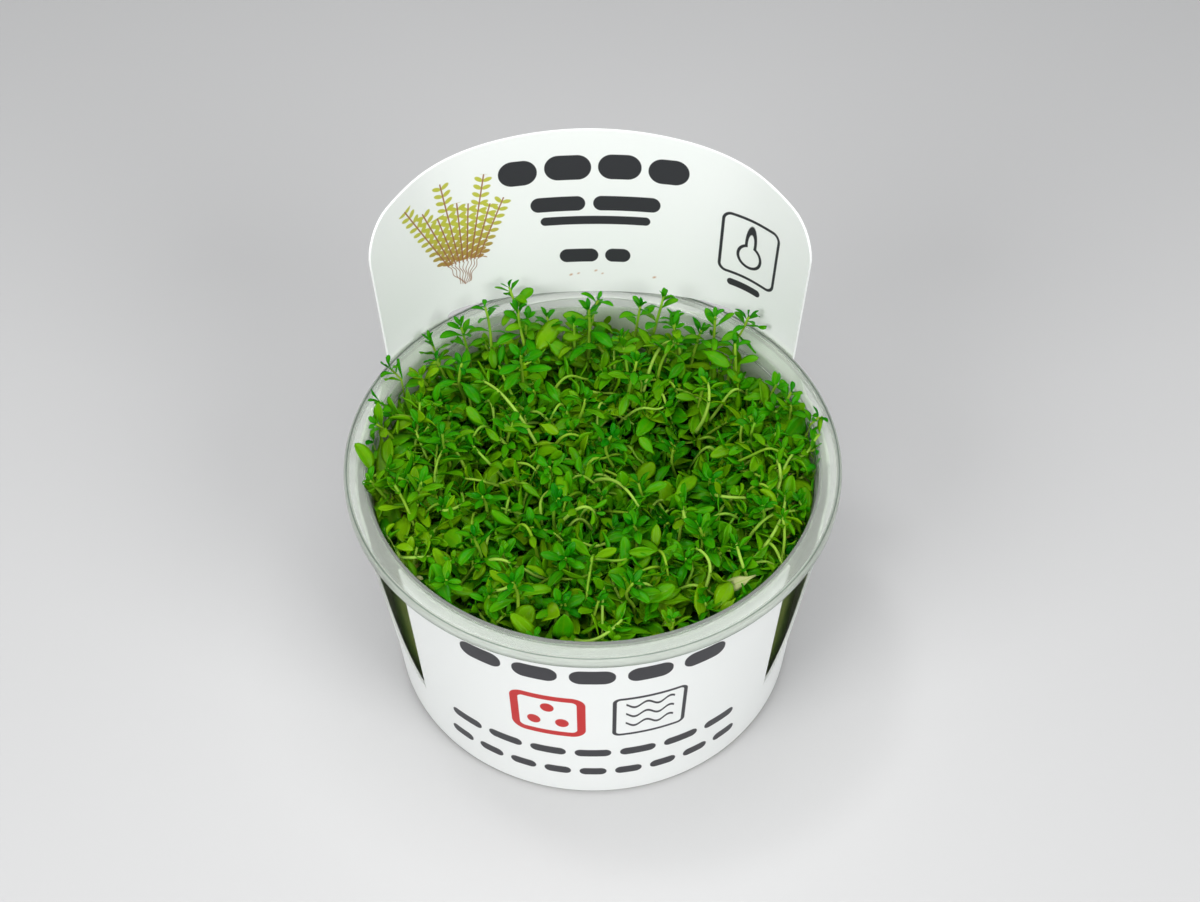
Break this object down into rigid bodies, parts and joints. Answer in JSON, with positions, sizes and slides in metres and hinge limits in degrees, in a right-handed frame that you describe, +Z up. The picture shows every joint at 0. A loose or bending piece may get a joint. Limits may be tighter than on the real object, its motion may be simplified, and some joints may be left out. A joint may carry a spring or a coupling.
{
  "type": "pearlweed in a culture cup",
  "caption": "Pearlweed, a small-leaved aquarium plant, growing densely in a clear tapered culture cup with a white card sleeve that stands up behind it as a header.",
  "frame": {"origin": "on the cup's axis, on the surface that the cup stands on", "axes": "+Z up along the cup's axis, +Y towards the header, so the front of the cup faces -Y"},
  "size_m": [0.1, 0.1, 0.1022],
  "materials": {
    "clear_plastic": "gloss",
    "white_card": "satin",
    "culture_gel": "gloss",
    "foliage": "satin",
    "shoots": "satin"
  },
  "bodies": {
    "root": {"cup": "clear_plastic", "card_sleeve": "white_card", "culture_gel": "culture_gel", "plant_carpet": "foliage", "sprig_01": "shoots", "sprig_02": "shoots", "sprig_03": "shoots", "sprig_04": "shoots", "sprig_05": "shoots", "sprig_06": "shoots", "sprig_07": "shoots", "sprig_08": "shoots", "sprig_09": "shoots", "sprig_10": "shoots", "sprig_11": "shoots", "sprig_12": "shoots", "sprig_13": "shoots", "sprig_14": "shoots", "sprig_15": "shoots", "sprig_16": "shoots", "sprig_17": "shoots", "sprig_18": "shoots", "sprig_19": "shoots", "sprig_20": "shoots", "sprig_21": "shoots", "sprig_22": "shoots", "sprig_23": "shoots", "sprig_24": "shoots", "sprig_25": "shoots", "sprig_26": "shoots"}
  },
  "joints": []
}
